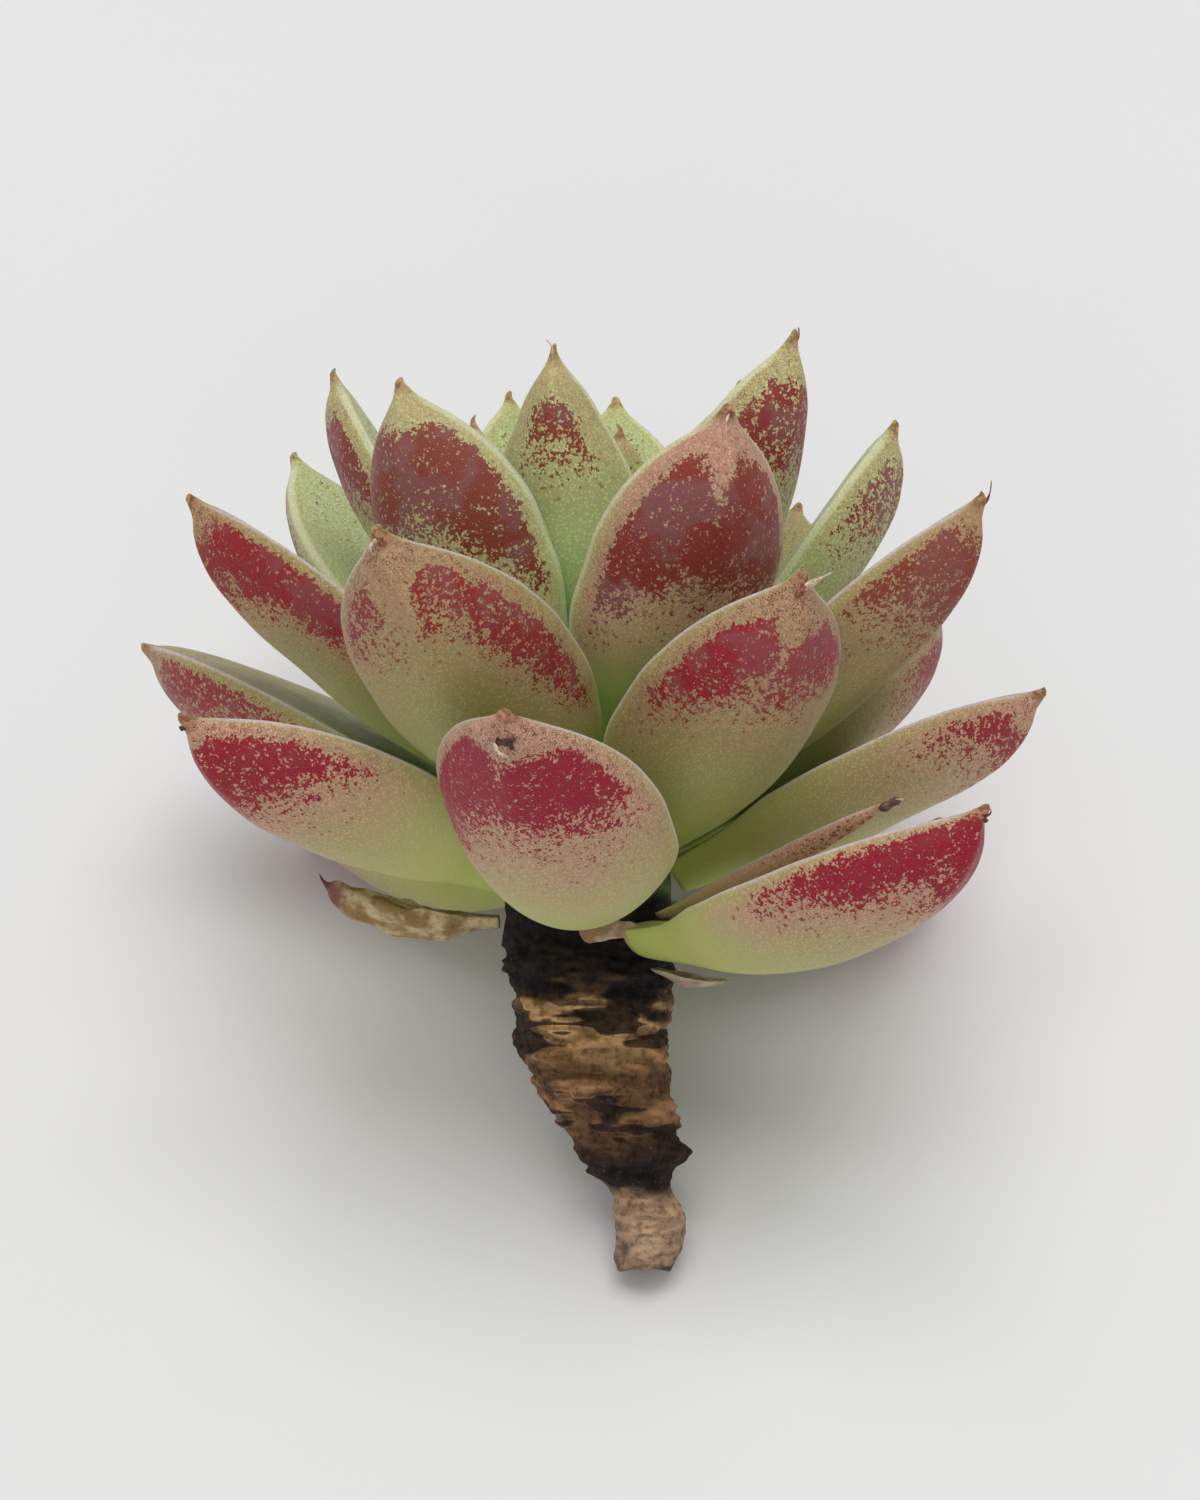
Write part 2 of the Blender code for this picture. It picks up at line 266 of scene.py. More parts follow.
def speckle(tree, where, pitch, detail=2.0, roughness=0.5):
    """Noise with grains of about the given size."""
    return add_node(tree, "TexNoise", {"Vector": where, "Scale": 1 / pitch, "Detail": detail,
                                       "Roughness": roughness}).outputs["Fac"]


def add_relief(tree, shader, height, strength, distance):
    """Fine relief from a height that changes over the surface."""
    bump = add_node(tree, "Bump", {"Height": height, "Strength": strength, "Distance": distance})
    tree.links.new(bump.outputs["Normal"], shader.inputs["Normal"])


# share of LADDER_DEPTH under the lowest leaves, colour of the bark there
LADDER_DEPTH = 26.0
# the near-black stops at the top, down to 0.21, are painted shade of the leaves over the stem
BARK_LADDER = ((0.21, (0.009, 0.006, 0.004, 1)), (0.25, (0.10, 0.052, 0.022, 1)),
               (0.30, (0.60, 0.36, 0.16, 1)), (0.36, (0.46, 0.26, 0.112, 1)),
               (0.42, (0.20, 0.098, 0.040, 1)), (0.50, (0.27, 0.14, 0.062, 1)),
               (0.58, (0.23, 0.115, 0.050, 1)), (0.64, (0.07, 0.034, 0.017, 1)),
               (0.69, (0.013, 0.008, 0.006, 1)), (0.74, (0.016, 0.010, 0.007, 1)),
               (0.775, (0.42, 0.26, 0.15, 1)), (0.90, (0.40, 0.265, 0.165, 1)))


def bark_material():
    """Green between the leaves, nearly black just under them as painted shade of the leaves,
    torn tan and brown lower down with dark plates left on it, a dark ragged skirt, pale
    wood at the broken end."""
    material, tree, shader = new_material("flaking_bark")
    where = add_node(tree, "TexCoord").outputs["Object"]
    depth, hollow, streak, plate = (
        mark_value(tree, name) for name in ("depth", "hollow", "streak", "plate"))
    fibres = speckle(tree, where, 0.7 * MM, 4.0, 0.65)
    grit = speckle(tree, where, 0.22 * MM, 3.0)
    wander = math_node(tree, "ADD", product(tree, plate, 1.3), product(tree, hollow, 2.2))
    level = math_node(tree, "ADD", depth, wander)
    ladder = add_node(tree, "ValToRGB", {"Fac": math_node(tree, "DIVIDE", level, LADDER_DEPTH)})
    stops = ladder.color_ramp.elements
    # the first stop is near black too: painted shade under the leaves
    stops[0].position, stops[0].color = 0.0, (0.008, 0.005, 0.004, 1)
    stops[1].position, stops[1].color = 1.0, (0.29, 0.175, 0.10, 1)
    for place, colour in BARK_LADDER:
        stop = stops.new(place)
        stop.color = colour
    clinging = math_node(tree, "ADD", plate, product(tree, streak, 0.45))
    left_on = product(tree, ramp_between(tree, clinging, 0.15, 0.32), ramp_between(tree, depth, 4.0, 7.0),
                      ramp_between(tree, depth, 17.0, 19.0, 0.92, 0.0))
    colour = blend_colours(tree, left_on, ladder.outputs["Color"], (0.022, 0.012, 0.008, 1))
    # painted shade on the relief: darker in the hollows of the flaking bark and lighter on its raised
    # parts, and darker where the fibre bump is low; grain is the bark's own streaky tone
    painted_hollow_shade = ramp_between(tree, hollow, -0.28, 0.22, 0.50, 1.25)
    painted_fibre_shade = ramp_between(tree, fibres, 0.36, 0.54, 0.55, 1.1)
    grain = ramp_between(tree, streak, -0.5, 0.3, 0.72, 1.15)
    colour = blend_colours(tree, 1.0, colour, product(tree, painted_hollow_shade, painted_fibre_shade, grain), "MULTIPLY")
    dusty = product(tree, ramp_between(tree, grit, 0.62, 0.74),
                    ramp_between(tree, depth, 4.0, 10.0, 0.03, 0.20))
    colour = blend_colours(tree, dusty, colour, (0.42, 0.30, 0.19, 1))
    living = blend_colours(tree, ramp_between(tree, fibres, 0.4, 0.6),
                           (0.15, 0.21, 0.05, 1), (0.27, 0.36, 0.10, 1))
    colour = blend_colours(tree, ramp_between(tree, level, -2.6, 0.2, 1.0, 0.0), colour, living)
    tree.links.new(colour, shader.inputs["Base Color"])
    relief = math_node(tree, "ADD", product(tree, fibres, 0.8), product(tree, grit, 0.35))
    add_relief(tree, shader, relief, 0.9, 0.25 * MM)
    tree.links.new(ramp_between(tree, fibres, 0.3, 0.7, 0.95, 0.72), shader.inputs["Roughness"])
    shader.inputs["Specular IOR Level"].default_value = 0.25
    return material


hang(add_surface("bare_stem", *stem_surface()), bark_material(), "stem")

# ---- Leaves
# Thick water-filled leaves on a golden-angle spiral, flat on the heart side and
# deep on the outside, each ending in a small dried point. The skin is powdery
# green, blushed red in granules over its outer half, tan by the rim and tip.
LEAF_LENGTH = 32.0 * MM
LEAF_WIDTH = 15.5 * MM
LEAF_THICKNESS = 5.8 * MM
SPIRAL_STEP = 137.5
FIRST_TURN = -6.0
GAP = 0.3 * MM            # left between a leaf's root and the stem
OUTER_SHARE = 0.74        # of the thickness, on the outer side
CUP = 0.16                # how far the margins turn up, as a share of the half width
# share of the leaf's length, share of its width or thickness there
LEAF_OUTLINE = ((0, 0.42), (0.12, 0.52), (0.30, 0.84), (0.48, 1.0), (0.62, 0.985),
                (0.74, 0.86), (0.84, 0.64), (0.90, 0.43), (0.94, 0.25), (0.97, 0.13), (1, 0.055))
LEAF_DEPTH = ((0, 0.50), (0.12, 0.60), (0.30, 0.88), (0.48, 1.0), (0.65, 0.98),
              (0.80, 0.84), (0.90, 0.60), (0.94, 0.42), (0.97, 0.22), (1, 0.11))
# rank of the leaf, counted inward, then a share of the full size, degrees from level,
# degrees either way of that along the leaf, or a share of the crown's height
LENGTH_BY_RANK = ((-8, 0.97), (0, 0.985), (8, 1.0), (14, 1.0), (18, 0.97), (21, 0.797),
                  (23, 0.61), (28, 0.42), (34, 0.25))
WIDTH_BY_RANK = ((-8, 1.0), (0, 1.03), (8, 1.0), (14, 0.935), (21, 0.74), (24, 0.55),
                 (28, 0.387), (34, 0.206))
THICKNESS_BY_RANK = ((-8, 1.03), (0, 1.03), (8, 1.0), (14, 0.90), (21, 0.67), (24, 0.465),
                     (28, 0.328), (34, 0.19))
SLOPE_BY_RANK = ((-8, 10), (-3, 13.5), (0, 17), (21, 66.5), (28, 77), (34, 85))
CURL_BY_RANK = ((-8, 18), (0, 18), (2, 8), (10, 7), (21, 6), (34, 4))
SEAT_BY_RANK = ((-8, -0.19), (0, 0.05), (22, 0.71), (34, 0.96))
# what single leaves add to their rank's numbers: slope, turn, curl and roll in
# degrees, the rest as shares of the full leaf or of the crown
OWN_CHANGES = {
    -3: dict(thickness=-0.10, seat=-0.0125, slope=0.8),
    -1: dict(slope=-1.5),
    0: dict(turn=2.5, slope=8.5, seat=0.02, lean=-0.09, droop=0.16, curl=9, roll=11, thickness=0.10),
    1: dict(slope=-1.6, seat=0.045),
    2: dict(slope=3.2, length=-0.077, seat=0.033, thickness=-0.10, curl=-7),
    3: dict(slope=-3.8, length=-0.12, width=-0.04, thickness=-0.04, curl=-4, roll=-8),
    4: dict(turn=-1.5),
    5: dict(slope=3.7, turn=1, length=-0.02, lean=-0.03, width=-0.03),
    6: dict(slope=-4, length=0.05, curl=-14),
    7: dict(slope=3.2, length=-0.094, turn=3, seat=0.015),
    8: dict(slope=-3, width=-0.05, turn=7, lean=-0.105, roll=-15),
    10: dict(slope=-2.4, turn=2, length=0.016, width=-0.07, roll=-8),
    11: dict(slope=-1.6, length=-0.03, width=-0.08, curl=-8, narrow=0.06),
    13: dict(turn=17, length=-0.04, lean=-0.03),
    14: dict(slope=-5.5, length=0.11),
    15: dict(slope=1.5, length=-0.07, width=-0.10),
    16: dict(slope=4, turn=5, length=-0.115, lean=-0.02, roll=-8),
    17: dict(turn=-2, length=0.04),
    18: dict(slope=-2, turn=5, length=-0.02, width=-0.06, narrow=0.08),
    19: dict(slope=-2.5, length=-0.005),
    20: dict(turn=10),
    21: dict(slope=1, turn=3, length=-0.03, narrow=0.28),
    22: dict(length=0.05),
}
# the blush of single leaves: where it starts along the middle of the leaf, how strong
# it is, how crimson (1) or brown (0), how much lower it runs at the left and at the
# right side, how many mm under the tip a tan notch closes, and how many mm of tan are
# left by the rim and by the tip
BLUSH_MARKS = ("blush_begins", "blush_strength", "blush_crimson", "blush_left", "blush_right",
               "blush_notch", "blush_rim", "blush_tip")
OWN_BLUSH = {
    -3: (0.81, 1.0, 1.0, 0.24, 0.05, 0.0, 0.45, 0.3),
    0: (0.70, 1.0, 1.0, 0.20, -0.03, 4.4, 1.6, 3.2),
    2: (0.80, 0.80, 0.80, 0.05, 0.0, 0.0, 0.9, 2.4),
    3: (0.75, 0.95, 0.9, 0.10, 0.10, 0.0, 1.3, 1.6),
    5: (0.76, 1.0, 0.85, 0.14, 0.0, 4.6, 1.5, 2.9),
    6: (0.78, 0.8, 0.8, 0.0, 0.25, 0.0, 0.5, 3.0),
    8: (0.83, 0.84, 0.60, 0.12, 0.46, 7.5, 1.5, 2.5),
    10: (0.72, 0.95, 0.15, 0.0, 0.0, 0.0, 0.8, 2.2),
    11: (0.79, 1.0, 0.75, 0.10, 0.42, 0.0, 0.6, 2.4),
    13: (0.62, 1.0, 0.35, 0.17, 0.03, 5.5, 1.8, 2.8),
    14: (0.69, 0.8, 0.4, 0.0, 0.10, 0.0, 1.4, 3.2),
    15: (0.71, 0.65, 0.45, 0.03, 0.03, 0.0, 1.3, 2.2),
    16: (0.63, 1.0, 0.10, 0.05, 0.22, 0.0, 1.3, 2.7),
    18: (0.71, 0.82, 0.5, 0.0, 0.06, 0.0, 1.6, 2.8),
    19: (0.68, 0.95, 0.45, 0.0, 0.10, 0.0, 1.4, 3.2),
    21: (0.75, 0.8, 0.25, 0.0, 0.0, 0.0, 2.6, 2.9),
}


def read_off(table, at):
    """Straight-line reading of a table at one place."""
    rows = np.array(table, dtype=float)
    return float(np.interp(at, rows[:, 0], rows[:, 1]))


def crown_radius(height):
    """Radius of the leaf-bearing stem at a height over the lowest leaves."""
    return STEM_RADIUS * read_off(CROWN_PROFILE, height / CROWN_HEIGHT)


def leaf_numbers(rank):
    """Sizes and place of the leaf of one rank, counted from the outside inward."""
    own = OWN_CHANGES.get(rank, {})
    return dict(
        length=LEAF_LENGTH * (read_off(LENGTH_BY_RANK, rank) + own.get("length", 0)),
        width=LEAF_WIDTH * (read_off(WIDTH_BY_RANK, rank) + own.get("width", 0)),
        thickness=LEAF_THICKNESS * (read_off(THICKNESS_BY_RANK, rank) + own.get("thickness", 0)),
        slope=read_off(SLOPE_BY_RANK, rank) + own.get("slope", 0),
        curl=read_off(CURL_BY_RANK, rank) + own.get("curl", 0),
        seat=CROWN_HEIGHT * (read_off(SEAT_BY_RANK, rank) + own.get("seat", 0)),
        turn=FIRST_TURN - SPIRAL_STEP * rank + own.get("turn", 0),
        lean=LEAF_LENGTH * own.get("lean", 0),
        droop=LEAF_LENGTH * own.get("droop", 0),
        roll=own.get("roll", 0),
        narrow=own.get("narrow", 0),
        seed=rank + 50,
    )


def leaf_surface(leaf, rows=110, columns=96, point=0.45 * MM, hook=(0.2, 0.4)):
    """Leaf grid from stem to tip, and its marks.

    The middle line climbs from slope - curl to slope + curl. Each section is a
    lens across it: a parabola on the heart side, a fuller curve outside, the
    margins turned up by CUP and a soft keel toward the tip. Slow noise dents
    it a little. Past the tip a small blunt point goes on for the length given,
    closing as a quarter ellipse, bent sideways and inward by the shares in hook.
    Distances to rim and middle are measured along the skin round each section.
    """
    fine = np.linspace(0, 1, 401)
    climb = np.radians(leaf["slope"] + leaf["curl"] * (2 * fine - 1))
    half_step = 0.5 * leaf["length"] / 400
    outward = np.concatenate([[0], np.cumsum((np.cos(climb[1:]) + np.cos(climb[:-1])) * half_step)])
    upward = np.concatenate([[0], np.cumsum((np.sin(climb[1:]) + np.sin(climb[:-1])) * half_step)])
    root_depth = LEAF_DEPTH[0][1] * leaf["thickness"]
    edges = [crown_radius(leaf["seat"] + reach * math.cos(climb[0])) + reach * math.sin(climb[0])
             for reach in (-OUTER_SHARE * root_depth, (1 - OUTER_SHARE) * root_depth)]
    start = max(edges) + 1.15 * GAP
    turn = math.radians(leaf["turn"])
    out_way = np.array([math.sin(turn), -math.cos(turn), 0])
    side_way = np.array([math.cos(turn), math.sin(turn), 0])
    up_way = np.array([0, 0, 1.0])

    point_rows = 10
    body = 1 - (1 - np.linspace(0, 1, rows - point_rows)) ** 1.25
    past = np.sin(np.linspace(0, 1, point_rows + 1)[1:] * 0.5 * np.pi * 0.97)
    at = np.concatenate([body, np.ones(point_rows)])
    beyond = np.concatenate([np.zeros(len(body)), past])
    closing = np.sqrt(1 - beyond ** 2)
    slim = 1 - leaf["narrow"] * np.clip((at - 0.5) / 0.3, 0, 1)
    half = (0.5 * leaf["width"] * smooth_curve(LEAF_OUTLINE, at) * slim * closing)[:, None]
    deep = (leaf["thickness"] * smooth_curve(LEAF_DEPTH, at) * closing)[:, None]
    slope = np.interp(at, fine, climb)
    run = start + np.interp(at, fine, outward) + np.cos(slope) * beyond * point
    rise = leaf["seat"] + np.interp(at, fine, upward) + np.sin(slope) * beyond * point
    share, over = at[:, None], beyond[:, None]
    drift = leaf["lean"] * share ** 2 + hook[0] * point * over ** 2
    tuck = hook[1] * point * over ** 2 - leaf["droop"] * np.clip((share - 0.6) / 0.4, 0, 1) ** 3

    angle = np.linspace(0, 2 * np.pi, columns, endpoint=False)
    across = np.sign(np.cos(angle)) * np.abs(np.cos(angle)) ** 0.9
    across[np.abs(across) < 1e-6] = 0
    fill = np.clip(1 - across ** 2, 0, 1)
    inside = np.sin(angle) >= -1e-9
    keel = 0.10 * deep * np.exp(-(across / 0.22) ** 2) * np.clip((share - 0.55) / 0.3, 0, 1)
    height = np.where(inside, (1 - OUTER_SHARE) * deep * fill,
                      -OUTER_SHARE * deep * fill ** 0.60 - keel * closing[:, None])
    height = height + CUP * half * across ** 2 * np.clip(share / 0.3, 0, 1)
    roll = math.radians(leaf["roll"]) * np.clip(share / 0.4, 0, 1)
    side, height = (half * across * np.cos(roll) + height * np.sin(roll),
                    height * np.cos(roll) - half * across * np.sin(roll))
    height = height + tuck
    side = side + drift
    inward = -np.sin(slope)[:, None] * out_way + np.cos(slope)[:, None] * up_way
    middle = run[:, None] * out_way + rise[:, None] * up_way
    grid = middle[:, None, :] + side[..., None] * side_way + height[..., None] * inward[:, None, :]

    hop = np.linalg.norm(np.roll(grid, -1, axis=1) - grid, axis=-1)
    walked = np.concatenate([np.zeros((rows, 1)), np.cumsum(hop, axis=1)], axis=1)
    around, walked = walked[:, -1:], walked[:, :-1]
    quarter = columns // 4
    far_rim = walked[:, 2 * quarter, None]
    from_rim = np.minimum(np.minimum(walked, around - walked), np.abs(walked - far_rim))
    from_middle = np.where(inside, walked[:, quarter, None] - walked,
                           walked - walked[:, 3 * quarter, None])

    swell = lumps(grid + leaf["seed"] * 7.3 * MM, 7 * MM, 21)
    wave = lumps(grid + leaf["seed"] * 3.1 * MM, 3.2 * MM, 22)
    away = grid - middle[:, None, :] - drift[..., None] * side_way
    away = away / (np.linalg.norm(away, axis=-1, keepdims=True) + 1e-9)
    calm = np.clip(share / 0.15, 0, 1) * np.clip((1 - share) / 0.2, 0, 1)
    dent = (0.16 * swell + 0.05 * wave) * MM * calm * min(leaf["thickness"] / (4 * MM), 1)
    grid = grid + dent[..., None] * away
    marks = dict(
        along=share + 0 * across,
        side_mm=from_middle / MM,
        rim_mm=from_rim / MM,
        tip_mm=(1 - share) * leaf["length"] / MM - over * point / MM,
        outer_face=np.where(inside, 0.0, 1.0) * np.clip(fill * 8, 0, 1),
    )
    return grid, marks


def blushed_skin():
    """Node group for the skin of a living leaf.

    The blush is a density from 0 to 1. It rises along the leaf, sooner at the
    sides, and falls again by the rim, by the tip and in a notch under the tip.
    Each grain of the skin compares it with its own random number and is red if
    the density is higher, so the blush is pierced by pinholes and ends in
    speckles. Near rim, tip and blush the green turns tan.
    """
    group = bpy.data.node_groups.new("blushed_skin", "ShaderNodeTree")
    face = group.interface
    for label in ("Flesh", "Root", "Tan", "Crimson", "Brown Red", "Rim"):
        face.new_socket(label, in_out="INPUT", socket_type="NodeSocketColor")
    for label in ("Rim Reach", "Bloom"):
        face.new_socket(label, in_out="INPUT", socket_type="NodeSocketFloat")
    face.new_socket("Skin Colour", in_out="OUTPUT", socket_type="NodeSocketColor")
    face.new_socket("Skin Height", in_out="OUTPUT", socket_type="NodeSocketFloat")
    face.new_socket("Skin Roughness", in_out="OUTPUT", socket_type="NodeSocketFloat")
    given = group.nodes.new("NodeGroupInput").outputs
    result = group.nodes.new("NodeGroupOutput").inputs

    def times(*values):
        return product(group, *values)

    def plus(first, second):
        return math_node(group, "ADD", first, second)

    def less(first, second):
        return math_node(group, "SUBTRACT", first, second)

    def swing(noise, reach):
        """Noise round 0, reaching about the given amount either way."""
        return times(less(noise, 0.5), reach)

    def spread(value, low, high, start=0.0, end=1.0):
        return ramp_between(group, value, low, high, start, end)

    where = add_node(group, "TexCoord").outputs["Object"]
    along, side, rim, tip, outside = (
        mark_value(group, name) for name in ("along", "side_mm", "rim_mm", "tip_mm", "outer_face"))
    begins, strength, crimson, down_left, down_right, notch, bare_rim, bare_tip = (
        mark_value(group, name) for name in BLUSH_MARKS)
    broad = speckle(group, where, 4.5 * MM, 2.0)
    mottle = speckle(group, where, 1.3 * MM, 2.0)
    clump = speckle(group, where, 0.45 * MM, 2.0, 0.6)
    grain = speckle(group, where, 0.17 * MM, 1.0, 0.5)
    dust = speckle(group, where, 0.10 * MM, 1.0, 0.5)
    cells = add_node(group, "TexVoronoi", {"Vector": where, "Scale": 1 / (0.25 * MM), "Randomness": 0.9})
    cell_number = add_node(group, "SeparateColor", {0: cells.outputs["Color"]}).outputs[0]
    dots = add_node(group, "TexVoronoi", {"Vector": where, "Scale": 1 / (0.44 * MM), "Randomness": 1.0})
    dot_number = add_node(group, "SeparateColor", {0: dots.outputs["Color"]}).outputs[1]

    # where the blush may be
    far_left = spread(side, -9.0, -1.5, 1.0, 0.0)
    far_right = spread(side, 1.5, 9.0)
    lower = less(begins, plus(times(far_left, down_left), times(far_right, down_right)))
    climb = less(along, plus(lower, plus(swing(broad, 0.16), swing(mottle, 0.16))))
    rising = spread(climb, -0.15, 0.12)
    wander = swing(mottle, 1.4)
    off_rim = spread(less(plus(rim, wander), bare_rim), -0.45, 0.55)
    off_tip = spread(less(plus(tip, wander), bare_tip), -0.8, 0.9)
    inside_notch = times(less(notch, tip), 0.36)
    beside_notch = less(math_node(group, "ABSOLUTE", plus(side, 0.8)), inside_notch)
    off_notch = spread(plus(beside_notch, wander), -0.7, 0.9)
    room = times(off_rim, off_tip, off_notch)
    outer = spread(outside, 0.0, 1.0)
    density = times(rising, room, strength, plus(times(outer, 0.69), 0.18))

    # red or not, grain by grain, and loose round dots with a pale middle below it
    chance = plus(plus(swing(clump, 1.7), swing(grain, 1.5)), plus(swing(cell_number, 0.45), 0.43))
    red = spread(less(density, chance), -0.03, 0.10)
    red = times(red, spread(density, 0.02, 0.12))
    loose = times(spread(climb, -0.24, -0.03), off_rim, off_tip, strength, outer)
    round_dot = times(spread(dots.outputs["Distance"], 0.24, 0.36, 1.0, 0.0),
                      spread(dots.outputs["Distance"], 0.04, 0.16, 0.25, 1.0))
    round_dot = times(round_dot, spread(less(times(loose, 0.42), dot_number), 0.0, 0.06))
    red = math_node(group, "MAXIMUM", red, times(round_dot, 0.7))

    # green flesh, yellower at the root, beige just under the blush, tan by the rim
    flesh = blend_colours(group, spread(along, 0.04, 0.50), given["Root"], given["Flesh"])
    beige = times(spread(climb, -0.36, 0.0), spread(mottle, 0.30, 0.70, 0.62, 0.95), strength,
                  plus(times(outer, 0.6), 0.4))
    tanned = times(less(1.0, room), spread(along, 0.36, 0.85), plus(times(outer, 0.45), 0.55))
    tanned = math_node(group, "MAXIMUM", tanned, beige)
    light_cell = spread(cells.outputs["Distance"], 0.15, 0.55, 1.0, 0.0)
    colour = blend_colours(group, tanned, flesh, given["Tan"])
    seams = times(less(1.0, light_cell), spread(along, 0.2, 0.6, 0.08, 0.36))
    colour = blend_colours(group, seams, colour, (0.16, 0.13, 0.05, 1))
    near_edge = times(less(1.0, times(off_rim, off_tip)), tanned)
    brown = times(spread(plus(dust, swing(clump, 0.6)), 0.53, 0.63),
                  plus(times(near_edge, 0.85), times(beige, 0.22)), spread(crimson, 0.15, 0.75, 0.35, 1.0))
    colour = blend_colours(group, brown, colour, (0.19, 0.065, 0.04, 1))
    blush = blend_colours(group, crimson, given["Brown Red"], given["Crimson"])
    blush = blend_colours(group, spread(mottle, 0.42, 0.68, 0.0, 0.25), blush, (0.20, 0.075, 0.05, 1))
    blush = blend_colours(group, spread(dust, 0.50, 0.66, 0.0, 0.20), blush, (0.42, 0.10, 0.10, 1))
    waxy = times(spread(plus(broad, swing(mottle, 0.4)), 0.44, 0.58), given["Bloom"])
    blush = blend_colours(group, waxy, blush, (0.27, 0.12, 0.125, 1))
    colour = blend_colours(group, red, colour, blush)

    # the thin see-through rim and the brown point
    line = times(spread(less(rim, given["Rim Reach"]), -0.20, 0.10, 1.0, 0.0), spread(tip, 0.6, 2.4),
                 spread(along, 0.12, 0.4), spread(grain, 0.35, 0.60, 0.35, 0.75))
    colour = blend_colours(group, line, colour, given["Rim"])
    point = spread(plus(tip, swing(mottle, 1.2)), 0.15, 0.95, 1.0, 0.0)
    dead = blend_colours(group, spread(clump, 0.42, 0.58),
                         (0.13, 0.035, 0.020, 1), (0.42, 0.20, 0.12, 1))
    colour = blend_colours(group, times(point, 0.80), colour, dead)
    group.links.new(colour, result["Skin Colour"])

    height = plus(times(light_cell, 0.6), times(grain, 0.35))
    roughness = plus(spread(mottle, 0.3, 0.7, 0.42, 0.56), times(tanned, 0.08))
    group.links.new(height, result["Skin Height"])
    group.links.new(roughness, result["Skin Roughness"])
    return group


SKIN_GROUP = blushed_skin()


def skin_material(name, colours, rim_reach, bloom, glow):
    """A living skin: the shared pattern in this ring's own colours (flesh, root, tan, crimson,
    brown red, rim), rim width in mm, wax over the blush, and light passing in by glow."""
    material, tree, shader = new_material(name)
    skin = tree.nodes.new("ShaderNodeGroup")
    skin.node_tree = SKIN_GROUP
    for label, colour in zip(("Flesh", "Root", "Tan", "Crimson", "Brown Red", "Rim"), colours):
        skin.inputs[label].default_value = colour + (1,)
    skin.inputs["Rim Reach"].default_value = rim_reach
    skin.inputs["Bloom"].default_value = bloom
    tree.links.new(skin.outputs["Skin Colour"], shader.inputs["Base Color"])
    tree.links.new(skin.outputs["Skin Roughness"], shader.inputs["Roughness"])
    add_relief(tree, shader, skin.outputs["Skin Height"], 0.6, 0.05 * MM)
    shader.inputs["Subsurface Weight"].default_value = glow
    shader.inputs["Subsurface Radius"].default_value = (0.9, 1.0, 0.35)
    shader.inputs["Subsurface Scale"].default_value = 3.2 * MM
    shader.inputs["Specular IOR Level"].default_value = 0.24
    shader.inputs["Sheen Weight"].default_value = 0.06
    shader.inputs["Sheen Roughness"].default_value = 0.35
    shader.inputs["Sheen Tint"].default_value = (0.80, 0.70, 0.92, 1)
    return material


PINK_TAN = (0.69, 0.38, 0.29)
TAN = (0.54, 0.33, 0.20)
OLIVE_TAN = (0.64, 0.55, 0.28)
CRIMSON = (0.31, 0.006, 0.028)
BROWN_RED = (0.25, 0.058, 0.030)
LILAC_RIM = (0.64, 0.56, 0.66)
CREAM_RIM = (0.72, 0.72, 0.50)
# flesh, root, tan, rim, rim width in mm, bloom, glow
SKIN_TABLE = {
    "outer_leaf": ((0.54, 0.51, 0.22), (0.47, 0.53, 0.13), PINK_TAN, LILAC_RIM, 0.22, 0.0, 0.40),
    "middle_leaf": ((0.45, 0.46, 0.17), (0.30, 0.43, 0.05), TAN, LILAC_RIM, 0.24, 0.30, 0.45),
    # inner ring: its flesh is its own pale green, lightened further as painted glow of light passing
    # through these thin leaves from behind
    "inner_leaf": ((0.62, 0.79, 0.36), (0.34, 0.62, 0.11), OLIVE_TAN, CREAM_RIM, 0.55, 0.60, 0.55),
    "tall_leaf": ((0.52, 0.64, 0.24), (0.33, 0.60, 0.09), PINK_TAN, CREAM_RIM, 0.45, 0.65, 0.50),
    "heart_leaf": ((0.52, 0.70, 0.26), (0.46, 0.72, 0.15), (0.62, 0.50, 0.27), CREAM_RIM, 0.4, 0.3, 0.55),
}
skins = {
    ring: skin_material(f"{ring}_skin", (flesh, root, tan, CRIMSON, BROWN_RED, rim), *amounts)
    for ring, (flesh, root, tan, rim, *amounts) in SKIN_TABLE.items()
}
TALL_LEAF_RANK = 13       # the tall leaf of the middle ring has a skin of its own
# ring, its ranks, rows and columns of each leaf's grid
LEAF_GROUPS = (
    ("outer_leaf", (-3, -1, 0, 1, 2, 3, 4), 110, 96),
    ("middle_leaf", range(5, 14), 110, 96),
    ("inner_leaf", range(14, 24), 110, 96),
    ("heart_leaf", range(24, 35), 70, 48),
)


def add_leaf(name, node, surface, marks, blush, skin):
    """One leaf piece, its blush numbers stored on it beside its other marks."""
    marks.update(zip(BLUSH_MARKS, np.array(blush)))
    hang(add_surface(name, surface, marks), skin, node)


